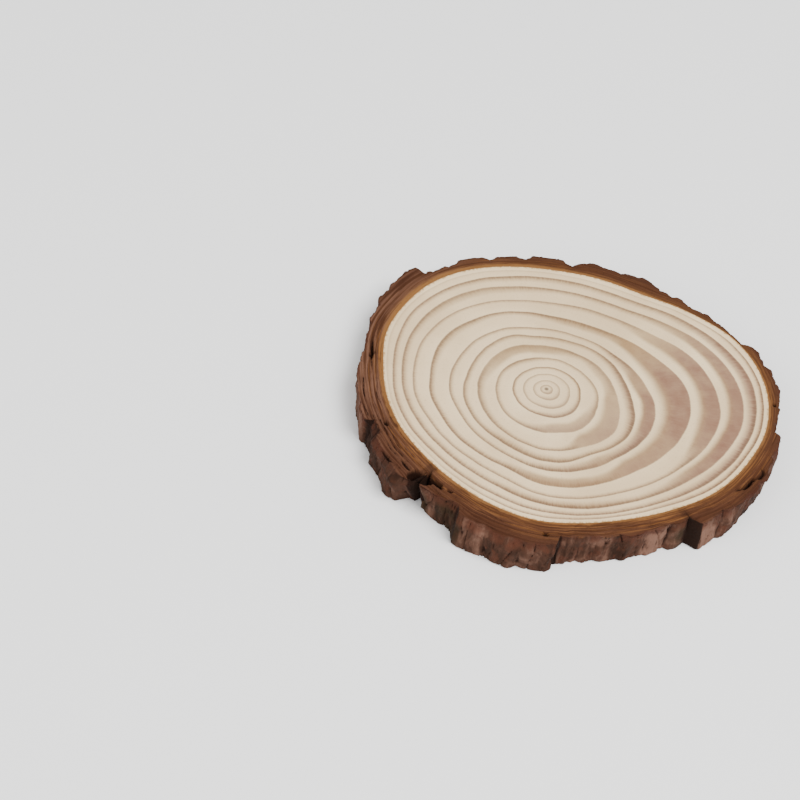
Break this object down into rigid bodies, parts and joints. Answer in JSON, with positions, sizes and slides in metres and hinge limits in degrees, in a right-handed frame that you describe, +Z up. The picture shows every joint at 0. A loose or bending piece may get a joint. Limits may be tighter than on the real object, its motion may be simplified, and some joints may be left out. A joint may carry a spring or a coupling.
{
  "type": "wood slice",
  "caption": "Round slice sawn across a young conifer trunk, its face sanded to show the growth rings and its bark left on.",
  "frame": {"origin": "centre of the bounding box, on the plane that the sawn underside rests on", "axes": "+Z up, out of the sanded face; +X towards the side that the tree grew fastest on, which is the slice's longest way across"},
  "size_m": [0.105, 0.0983, 0.01],
  "materials": {
    "wood": "bare sanded end grain, matt, cream with tan and reddish-brown growth rings",
    "bark": "rough dry bark, matt, orange-brown where it is sawn and grey-brown outside"
  },
  "bodies": {
    "root": {"wood_slice": "wood"}
  },
  "joints": []
}
